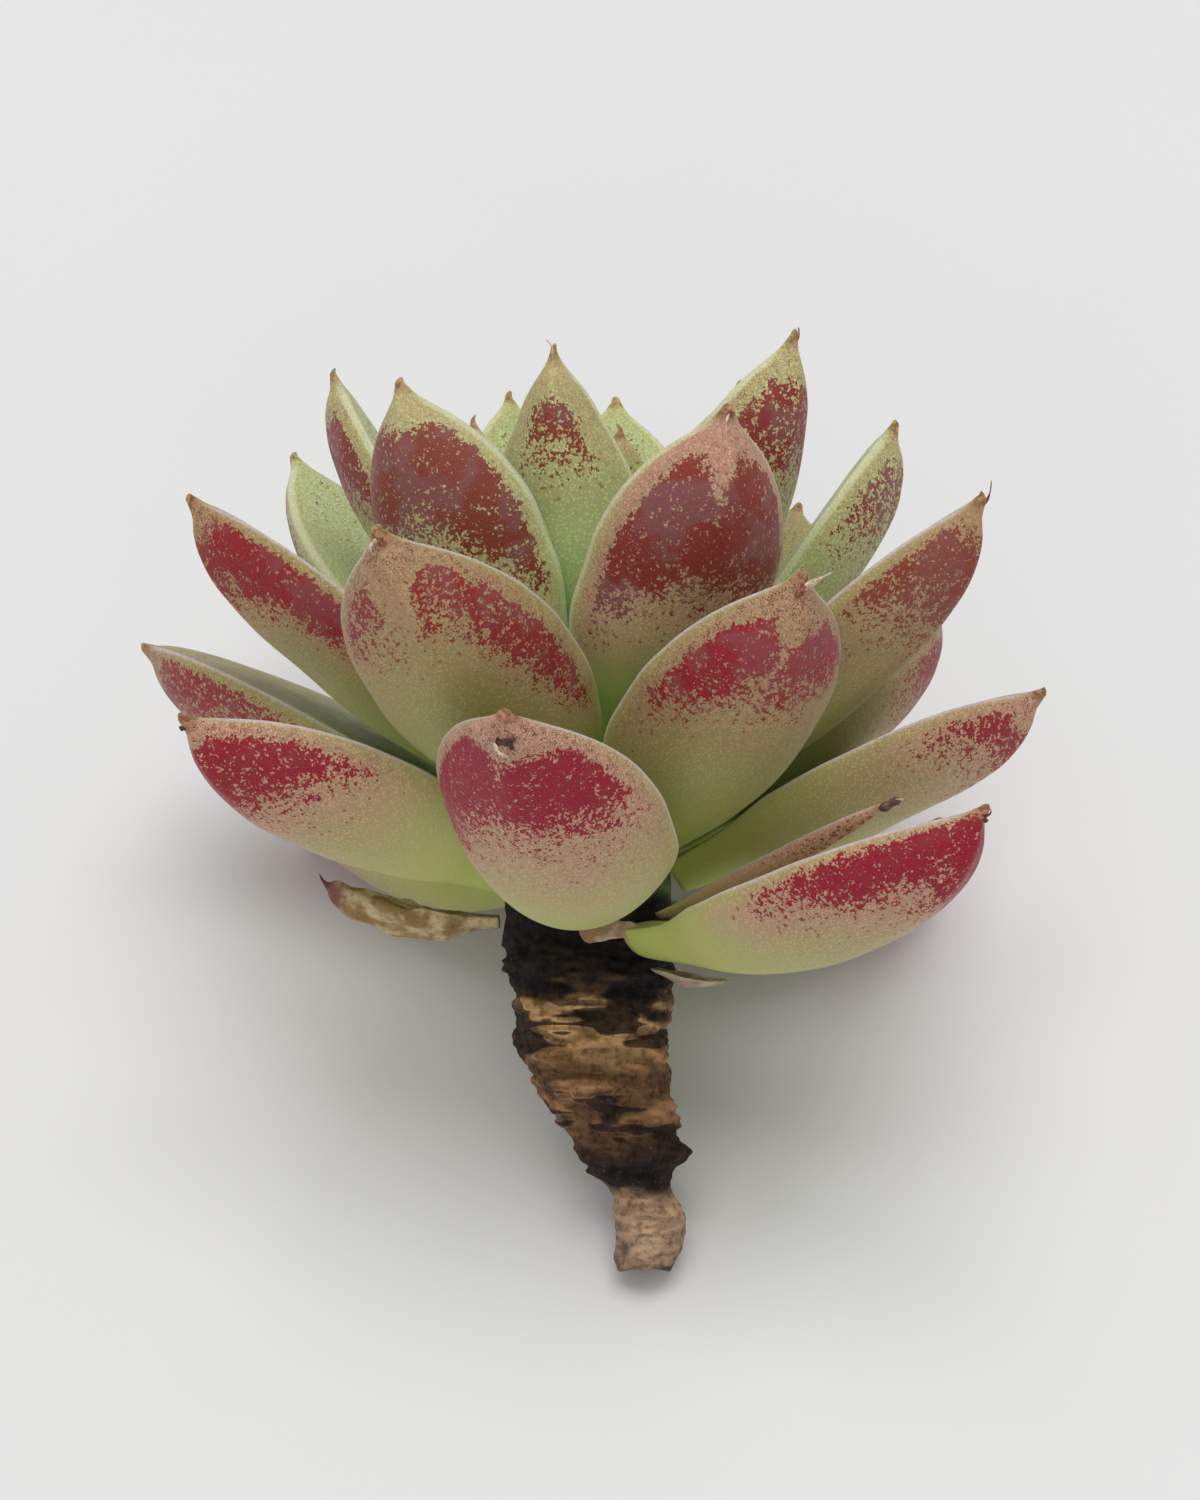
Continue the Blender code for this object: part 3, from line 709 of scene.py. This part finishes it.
# by rank: the strength and the crimson of a leaf without blush numbers of its own,
# and the length of every leaf's dried point in mm
USUAL_STRENGTH = ((-3, 0.95), (18, 0.85), (24, 0.45), (30, 0.2))
USUAL_CRIMSON = ((-3, 0.95), (4, 0.8), (12, 0.45), (20, 0.3))
POINT_BY_RANK = ((-3, 0.30), (14, 0.35), (22, 0.55), (34, 0.30))
for group_name, ranks, rows, columns in LEAF_GROUPS:
    for number, rank in enumerate(ranks, start=1):
        pick = np.random.default_rng(900 + rank)
        usual = (0.70 + pick.uniform(-0.05, 0.05), read_off(USUAL_STRENGTH, rank),
                 read_off(USUAL_CRIMSON, rank), pick.uniform(0, 0.2), pick.uniform(0, 0.2),
                 pick.uniform(0, 4), pick.uniform(0.7, 1.4), pick.uniform(2.0, 3.2))
        hook = (pick.uniform(-0.6, 0.6), pick.uniform(0.0, 0.6))
        point = read_off(POINT_BY_RANK, rank) * MM
        grid, marks = leaf_surface(leaf_numbers(rank), rows, columns, point, hook)
        node = f"{group_name}_{number:02d}"
        skin = skins["tall_leaf" if rank == TALL_LEAF_RANK else group_name]
        add_leaf(f"{node}_skin", node, grid, marks, OWN_BLUSH.get(rank, usual), skin)

# ---- Stunted leaf
# A thin pinched leaf that never filled out, squeezed between two outer leaves on
# the right; pinkish, its point dried to a dark purple husk.
stunted = dict(length=0.64 * LEAF_LENGTH, width=0.23 * LEAF_WIDTH, thickness=0.18 * LEAF_THICKNESS,
               slope=21.5, curl=4, seat=0.0, turn=55, lean=0, droop=0, roll=0, narrow=0, seed=3)
grid, marks = leaf_surface(stunted, 80, 48, 1.4 * MM, (0.3, 0.3))
stunted_colours = ((0.88, 0.50, 0.42), (0.70, 0.55, 0.30), (0.85, 0.50, 0.42),
                   (0.34, 0.10, 0.10), (0.30, 0.12, 0.08), LILAC_RIM)
stunted_skin = skin_material("stunted_leaf_skin", stunted_colours, 0.15, 0.0, 0.2)
add_leaf("stunted_leaf_skin", "stunted_leaf", grid, marks,
         (0.6, 0.4, 0.3, 0.1, 0.1, 0.0, 0.3, 1.0), stunted_skin)

# ---- Dried leaves
# Two old leaves at the foot of the rosette: a withered one at the left, shrunk to
# a wrinkled yellow-brown tongue, and a papery scrap at the front right. Both still
# hang on the stem by their roots.


def dried_surface(leaf, folds, rows=90, columns=64):
    """A shrivelled leaf: the living leaf's grid, its outline gnawed by noise and its
    faces pulled into lengthwise folds, a sine of the distance from the middle, that
    deepen away from the stem."""
    grid, marks = leaf_surface(leaf, rows, columns, 0.5 * MM, (0.5, 0.3))
    turn = math.radians(leaf["turn"])
    side_way = np.array([math.cos(turn), math.sin(turn), 0])
    along = marks["along"]
    across = marks["side_mm"] * MM
    crease = np.sin(across / (0.55 * MM) + 3.0 * lumps(grid, 3 * MM, leaf["seed"])) * folds * MM
    crumple = lumps(grid, 1.3 * MM, leaf["seed"] + 1) * folds * 1.2 * MM
    ripple = (crease + crumple) * np.clip(along / 0.2, 0, 1)
    grid = grid + ripple[..., None] * np.array([0, 0, 1.0])
    grid = grid + (lumps(grid, 2.2 * MM, leaf["seed"] + 2) * 0.4 * folds * MM)[..., None] * side_way
    return grid, marks


def dried_material(name, pale, brown, dark, dark_from):
    """Papery dead skin, pale to brown in blotches, with another colour at the tip."""
    material, tree, shader = new_material(name)
    where = add_node(tree, "TexCoord").outputs["Object"]
    blotch = speckle(tree, where, 1.6 * MM, 3.0)
    fine = speckle(tree, where, 0.3 * MM, 3.0, 0.6)
    colour = blend_colours(tree, ramp_between(tree, blotch, 0.36, 0.60), pale + (1,), brown + (1,))
    specks = product(tree, ramp_between(tree, fine, 0.5, 0.7), 0.4)
    colour = blend_colours(tree, specks, colour, (0.12, 0.06, 0.03, 1))
    reach = math_node(tree, "ADD", mark_value(tree, "along"), product(tree, blotch, 0.2))
    end = ramp_between(tree, reach, dark_from, dark_from + 0.18)
    colour = blend_colours(tree, end, colour, dark + (1,))
    tree.links.new(colour, shader.inputs["Base Color"])
    add_relief(tree, shader, fine, 0.6, 0.12 * MM)
    tree.links.new(ramp_between(tree, blotch, 0.3, 0.7, 0.55, 0.8), shader.inputs["Roughness"])
    shader.inputs["Subsurface Weight"].default_value = 0.15
    shader.inputs["Subsurface Radius"].default_value = (1.0, 0.6, 0.3)
    shader.inputs["Subsurface Scale"].default_value = 0.6 * MM
    return material


withered = dict(length=0.41 * LEAF_LENGTH, width=0.39 * LEAF_WIDTH, thickness=0.34 * LEAF_THICKNESS,
                slope=12, curl=18, seat=-0.01 * CROWN_HEIGHT, turn=-91, lean=0,
                droop=0, roll=0, narrow=0, seed=31)
withered_skin = dried_material("withered_skin", (0.62, 0.49, 0.27), (0.30, 0.18, 0.06),
                               (0.16, 0.012, 0.03), 0.90)
hang(add_surface("withered_leaf_husk", *dried_surface(withered, 0.28)), withered_skin,
     "withered_leaf")

scrap = dict(length=0.20 * LEAF_LENGTH, width=0.23 * LEAF_WIDTH, thickness=0.10 * LEAF_THICKNESS,
             slope=-10, curl=8, seat=-0.165 * CROWN_HEIGHT, turn=50, lean=0,
             droop=0, roll=0, narrow=0, seed=41)
scrap_skin = dried_material("papery_scrap_skin", (0.55, 0.44, 0.32), (0.36, 0.26, 0.17),
                            (0.50, 0.40, 0.30), 1.2)
hang(add_surface("papery_leaf_scrap", *dried_surface(scrap, 0.12)), scrap_skin,
     "dry_leaf_scrap")

# ---- Husks and hairs of the leaf points
# The dried points of single leaves: torn cream flakes, a dark pit with a curled
# rim, brown hairs. Each is dead skin, grown on its leaf and rooted in its tip.

# leaf, how far under the tip and to the right it is rooted, its path to the right,
# toward the tip and off the skin, its half width at both ends, its flatness: in mm
POINT_PIECES = (
    ("front_leaf_pit", 0, 1.7, 0.2,
     ((-0.75, 0.1, 0.0), (-0.1, 0.05, 0.06), (0.65, 0.3, 0.0)), 0.34, 0.16, 0.35, "pit"),
    ("front_leaf_pit_foot", 0, 1.9, 0.3,
     ((-0.25, 0.2, 0.0), (0.0, -0.2, 0.06), (0.1, -0.65, 0.0)), 0.40, 0.12, 0.35, "pit"),
    ("front_leaf_curl", 0, 1.8, 0.2,
     ((-0.8, 0.0, -0.05), (-0.55, -0.55, 0.30), (0.1, -1.0, 0.15)), 0.14, 0.10, 0.9, "flake"),
    ("right_leaf_flake", 5, 0.6, 0.2,
     ((-0.2, -0.1, -0.1), (0.7, 0.35, 0.15), (2.2, 0.75, 0.15)), 0.40, 0.04, 0.45, "flake"),
    ("right_leaf_scab", 5, 0.7, -0.1,
     ((-0.45, -0.35, 0.0), (-0.1, 0.0, 0.12), (0.1, 0.45, 0.0)), 0.26, 0.14, 0.6, "scab"),
    ("left_leaf_flake", 8, 0.4, -0.1,
     ((0.0, 0.1, -0.1), (-0.50, -0.1, 0.15), (-0.60, -0.75, 0.05)), 0.20, 0.05, 0.5, "flake"),
    ("left_leaf_scab", 8, 0.5, 0.1,
     ((-0.2, 0.1, 0.0), (0.05, 0.0, 0.10), (0.35, -0.1, 0.0)), 0.16, 0.10, 0.6, "scab"),
    ("tall_leaf_hair", 13, 0.4, 0.0,
     ((0.05, 0.3, -0.1), (-0.45, -0.3, 0.40), (-0.30, -1.6, 0.15)), 0.10, 0.04, 0.8, "flake"),
    ("tall_leaf_scab", 13, 0.3, 0.1,
     ((-0.2, 0.2, 0.0), (0.05, 0.1, 0.10), (0.3, 0.1, 0.0)), 0.18, 0.12, 0.6, "scab"),
    ("low_right_leaf_hair", -3, 0.2, 0.0,
     ((0.0, -0.1, -0.1), (-0.1, 0.5, 0.25), (-0.7, 0.9, 0.4)), 0.09, 0.03, 1.0, "scab"),
    ("low_right_leaf_scab", -3, 0.4, 0.0,
     ((-0.2, 0.1, 0.0), (0.0, 0.0, 0.12), (0.2, -0.2, 0.0)), 0.18, 0.12, 0.6, "pit"),
    ("right_side_leaf_hair", 10, 0.1, 0.0,
     ((0.0, -0.2, -0.1), (0.0, 0.7, 0.1), (-0.8, 1.7, 0.2)), 0.12, 0.02, 1.0, "scab"),
    ("low_left_leaf_scab", 3, 0.3, 0.0,
     ((-0.2, 0.1, 0.0), (0.0, 0.1, 0.15), (0.2, -0.1, 0.0)), 0.20, 0.14, 0.7, "pit"),
    ("back_leaf_hair", 21, 0.1, 0.0,
     ((0.0, -0.2, -0.1), (-0.1, 0.5, 0.0), (-0.55, 1.0, 0.0)), 0.12, 0.03, 1.0, "flake"),
    ("back_right_leaf_hair", 18, 0.1, 0.0,
     ((0.0, -0.2, -0.1), (0.1, 0.4, 0.0), (0.0, 0.8, 0.0)), 0.12, 0.03, 1.0, "scab"),
)


def skin_place(grid, marks, tip, side):
    """The point on the outer face nearest to a place under the tip and beside the middle,
    with its axes: right, toward the tip, off the skin."""
    miss = (marks["tip_mm"] - tip) ** 2 + (marks["side_mm"] - side) ** 2
    miss = miss + 100 * (marks["outer_face"] < 0.5)
    row, column = np.unravel_index(np.argmin(miss), miss.shape)
    toward_tip = grid[min(row + 1, len(grid) - 1), column] - grid[row - 1, column]
    toward_tip /= np.linalg.norm(toward_tip)
    off = grid[row, column] - grid[row].mean(0)
    off -= toward_tip * off.dot(toward_tip)
    off /= np.linalg.norm(off)
    return grid[row, column], np.stack([np.cross(toward_tip, off), toward_tip, off])


def bent_strip(spot, axes, path, wide, narrow, flatness, rows=36, columns=20):
    """A tapering strip along a curve through three places.

    The curve is the parabola (Bezier) whose middle passes the middle place; the
    section is an ellipse, thin by flatness, shrinking from wide to narrow and
    closing at both ends as a quarter circle would, with a slow wobble.
    """
    first, middle, last = (spot + np.array(place) * MM @ axes for place in path)
    pull = 2 * middle - 0.5 * (first + last)
    along = np.linspace(0, 1, rows)[:, None]
    line = (1 - along) ** 2 * first + 2 * along * (1 - along) * pull + along ** 2 * last
    forward = np.gradient(line, axis=0)
    forward /= np.linalg.norm(forward, axis=1, keepdims=True)
    across = np.cross(forward, axes[2])
    across /= np.linalg.norm(across, axis=1, keepdims=True)
    lift = np.cross(across, forward)
    ends = np.sqrt(np.clip(1 - np.abs(2 * along - 1) ** 9, 0.002, 1))
    wobble = 1 + 0.22 * np.sin(11 * along + wide * 40)
    half = (wide + (narrow - wide) * along ** 0.8) * ends * wobble * MM
    angle = np.linspace(0, 2 * np.pi, columns, endpoint=False)
    level, raised = np.cos(angle)[None, :, None], np.sin(angle)[None, :, None]
    ring = level * across[:, None] + flatness * raised * lift[:, None]
    return line[:, None] + half[..., None] * ring, along + 0 * angle


def husk_material(name, main, other, rough):
    """Dead skin of a leaf point in two mottled shades."""
    material, tree, shader = new_material(name)
    where = add_node(tree, "TexCoord").outputs["Object"]
    mottling = ramp_between(tree, speckle(tree, where, 0.30 * MM, 3.0), 0.38, 0.62)
    colour = blend_colours(tree, mottling, main + (1,), other + (1,))
    roughness = ramp_between(tree, mottling, 0, 1, rough - 0.1, rough + 0.1)
    tree.links.new(colour, shader.inputs["Base Color"])
    tree.links.new(roughness, shader.inputs["Roughness"])
    return material


husks = {
    "pit": husk_material("dark_pit", (0.030, 0.012, 0.009), (0.12, 0.045, 0.022), 0.7),
    "flake": husk_material("cream_flake", (0.72, 0.60, 0.46), (0.48, 0.33, 0.22), 0.6),
    "scab": husk_material("rust_point", (0.33, 0.10, 0.05), (0.14, 0.035, 0.020), 0.6),
    "purple": husk_material("purple_husk", (0.09, 0.040, 0.055), (0.20, 0.10, 0.10), 0.6),
}


def add_husk(name, node, grid, along, material):
    """One dead piece, standing for a part of the named solid."""
    hang(add_surface(name, grid, dict(along=along)), material, node)


leaf_nodes = {rank: f"{group_name}_{number:02d}" for group_name, ranks, *_ in LEAF_GROUPS
              for number, rank in enumerate(ranks, start=1)}
for name, rank, tip, side, path, wide, narrow, flatness, husk in POINT_PIECES:
    spot, axes = skin_place(*leaf_surface(leaf_numbers(rank)), tip, side)
    grid, along = bent_strip(spot, axes, path, wide, narrow, flatness)
    add_husk(name, leaf_nodes[rank], grid, along, husks[husk])

# the stunted leaf's dark husk and its pale torn rim
spot, axes = skin_place(*leaf_surface(stunted, 80, 48, 0.5 * MM), 0.5, 0.0)
for name, path, wide, narrow, husk in (
        ("stunted_leaf_husk",
         ((-0.1, -0.4, 0.0), (0.0, 0.3, 0.2), (0.15, 1.2, 0.35)), 0.42, 0.36, "purple"),
        ("stunted_leaf_husk_rim",
         ((-0.35, 1.1, 0.35), (0.1, 1.35, 0.55), (0.50, 1.05, 0.35)), 0.09, 0.06, "flake")):
    grid, along = bent_strip(spot, axes, path, wide, narrow, 0.7)
    add_husk(name, "stunted_leaf", grid, along, husks[husk])

# ---- Papery strip under the front leaf
# The torn base of an old leaf, thin as paper and pale pinkish tan, still wrapped
# round the front of the stem and running out to the dry scrap at the right.

# its path is to the right, up and toward the front of the upright plant, in mm
front_axes = np.array([[1.0, 0, 0], [0, 0, 1.0], [0, -1.0, 0]])
strip_path = ((-0.6, -1.5, 6.3), (4.4, -1.5, 7.2), (9.2, -4.2, 6.4))
grid, along = bent_strip(np.zeros(3), front_axes, strip_path, 0.95, 0.30, 0.14, 80, 40)
crumple = lumps(grid, 1.4 * MM, 61) + 0.5 * lumps(grid, 0.6 * MM, 62)
grid = grid + (0.28 * crumple * MM)[..., None] * front_axes[1]
grid = grid + (0.16 * crumple * MM)[..., None] * front_axes[2]
strip_skin = dried_material("papery_strip_skin", (0.62, 0.45, 0.33), (0.33, 0.19, 0.11),
                            (0.66, 0.52, 0.40), 0.95)
add_husk("papery_strip", "dry_leaf_scrap", grid, along, strip_skin)

# ---- Table, light and camera
# A plain near-white table, a large soft light high behind the plant, a weaker
# one from the front, and a long lens that looks down at the stem side.
TABLE_HALF = 1.5
corners = [(-TABLE_HALF, -TABLE_HALF, 0), (TABLE_HALF, -TABLE_HALF, 0),
           (TABLE_HALF, TABLE_HALF, 0), (-TABLE_HALF, TABLE_HALF, 0)]
floor_mesh = bpy.data.meshes.new("table_top")
floor_mesh.from_pydata(corners, [], [(0, 1, 2, 3)])
floor = bpy.data.objects.new("table_top", floor_mesh)
collection.objects.link(floor)
paper, tree, shader = new_material("white_paper")
cloud = speckle(tree, add_node(tree, "TexCoord").outputs["Object"], 40 * MM, 2.0)
colour = blend_colours(tree, ramp_between(tree, cloud, 0.3, 0.7),
                       (0.815, 0.815, 0.815, 1), (0.822, 0.822, 0.825, 1))
tree.links.new(colour, shader.inputs["Base Color"])
shader.inputs["Roughness"].default_value = 0.9
shader.inputs["Specular IOR Level"].default_value = 0.1
floor_mesh.materials.append(paper)


LIGHT_AIM = Vector((0, 0, 0.02))


def soft_light(name, place, size, watts):
    """A square area light at a place, turned toward the plant."""
    lamp = bpy.data.lights.new(name, "AREA")
    lamp.size = size
    lamp.energy = watts
    holder = bpy.data.objects.new(name, lamp)
    holder.location = place
    holder.rotation_euler = (LIGHT_AIM - Vector(place)).to_track_quat("-Z", "Y").to_euler()
    collection.objects.link(holder)


soft_light("window_above", (0.05, 0.16, 1.90), 1.3, 22.4)
soft_light("window_front", (-0.20, -1.20, 1.00), 1.4, 4.0)
world = bpy.data.worlds.new("studio")
world.use_nodes = True
sky = world.node_tree.nodes["Background"]
sky.inputs["Color"].default_value = (1.0, 1.0, 1.0, 1)
sky.inputs["Strength"].default_value = 0.36
bpy.context.scene.world = world
bpy.context.scene.view_settings.view_transform = "Standard"

VIEW_BELOW = math.radians(4.0)        # the lens sits this far under the rosette's own plane
VIEW_DISTANCE = 300 * MM
LENS_LENGTH = 99.7
SENSOR_WIDTH = 36
toward = np.array([0, -math.cos(VIEW_BELOW), -math.sin(VIEW_BELOW)])
upright = np.array([0, -math.sin(VIEW_BELOW), math.cos(VIEW_BELOW)])
aim_at = np.array([0.87, 0, 0]) * MM + 11.9 * MM * upright
lens_place = lay(aim_at + VIEW_DISTANCE * toward)
backward, upward = laid_axes() @ toward, laid_axes() @ upright
turned = Matrix(np.stack([np.cross(upward, backward), upward, backward], 1).tolist())
lens = bpy.data.cameras.new("camera")
lens.lens = LENS_LENGTH
lens.sensor_width = SENSOR_WIDTH
camera = bpy.data.objects.new("camera", lens)
camera.matrix_world = Matrix.Translation(Vector(lens_place)) @ turned.to_4x4()
collection.objects.link(camera)
bpy.context.scene.camera = camera
